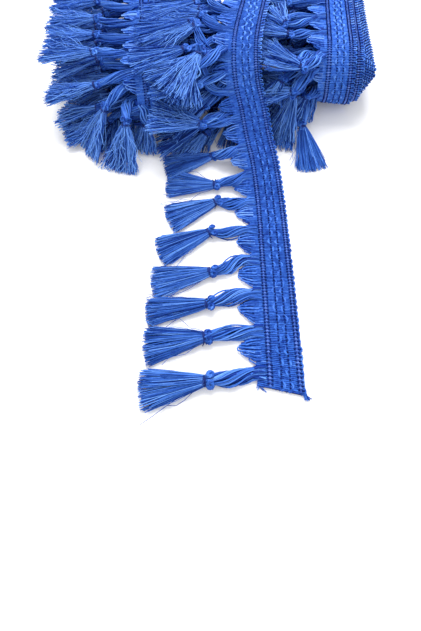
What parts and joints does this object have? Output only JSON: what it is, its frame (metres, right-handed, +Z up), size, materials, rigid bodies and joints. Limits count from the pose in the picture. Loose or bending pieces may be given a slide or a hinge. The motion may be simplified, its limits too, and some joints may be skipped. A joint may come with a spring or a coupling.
{
  "type": "tassel fringe trim",
  "caption": "Woven braid heading with a scalloped loop edge and tied tassels, wound in a loose hank with one end draped out over it, for edging cushions, curtains and lampshades.",
  "frame": {"origin": "on the floor at the middle of the trim's whole outline", "axes": "+Z up from the floor; +Y from the cut end of the loose run towards the hank; +X from the tassels towards the plain edge of the braid"},
  "size_m": [0.2584, 0.3857, 0.0595],
  "materials": {
    "braid": "woven rayon yarn, soft sheen",
    "yarn": "loose rayon yarn, silky sheen"
  },
  "bodies": {
    "root": {"coil_right": "braid", "coil_left": "braid", "loose_end_braid": "braid", "crossing_braid": "braid", "tassel_loose_01": "yarn", "tassel_loose_02": "yarn", "tassel_loose_03": "yarn", "tassel_loose_04": "yarn", "tassel_loose_05": "yarn", "tassel_loose_06": "yarn", "tassel_loose_07": "yarn", "tassel_loose_08": "yarn", "tassel_loose_09": "yarn", "tassel_loose_10": "yarn", "tassel_loose_11": "yarn", "tassel_loose_12": "yarn", "tassel_loose_13": "yarn", "tassel_loose_14": "yarn", "tassel_loose_15": "yarn", "tassel_loose_16": "yarn", "tassel_loose_17": "yarn", "tassel_loose_18": "yarn", "tassel_crossing_01": "yarn", "tassel_crossing_02": "yarn", "tassel_crossing_03": "yarn", "tassel_crossing_04": "yarn", "tassel_crossing_05": "yarn", "tassel_left_01": "yarn", "tassel_left_02": "yarn", "tassel_left_03": "yarn", "tassel_left_04": "yarn", "tassel_left_05": "yarn", "tassel_left_06": "yarn", "tassel_left_07": "yarn", "tassel_left_08": "yarn", "tassel_left_09": "yarn", "tassel_left_10": "yarn", "tassel_left_11": "yarn", "tassel_left_12": "yarn", "tassel_left_13": "yarn", "tassel_left_14": "yarn", "tassel_left_15": "yarn", "tassel_left_16": "yarn", "tassel_left_17": "yarn", "tassel_left_18": "yarn", "tassel_right_01": "yarn", "tassel_right_02": "yarn", "tassel_right_03": "yarn", "tassel_right_04": "yarn", "tassel_right_05": "yarn", "tassel_right_06": "yarn", "tassel_right_07": "yarn", "tassel_right_08": "yarn", "tassel_right_09": "yarn", "tassel_right_10": "yarn", "tassel_right_11": "yarn", "tassel_right_12": "yarn", "tassel_right_13": "yarn", "tassel_right_14": "yarn", "tassel_right_15": "yarn"}
  },
  "joints": []
}
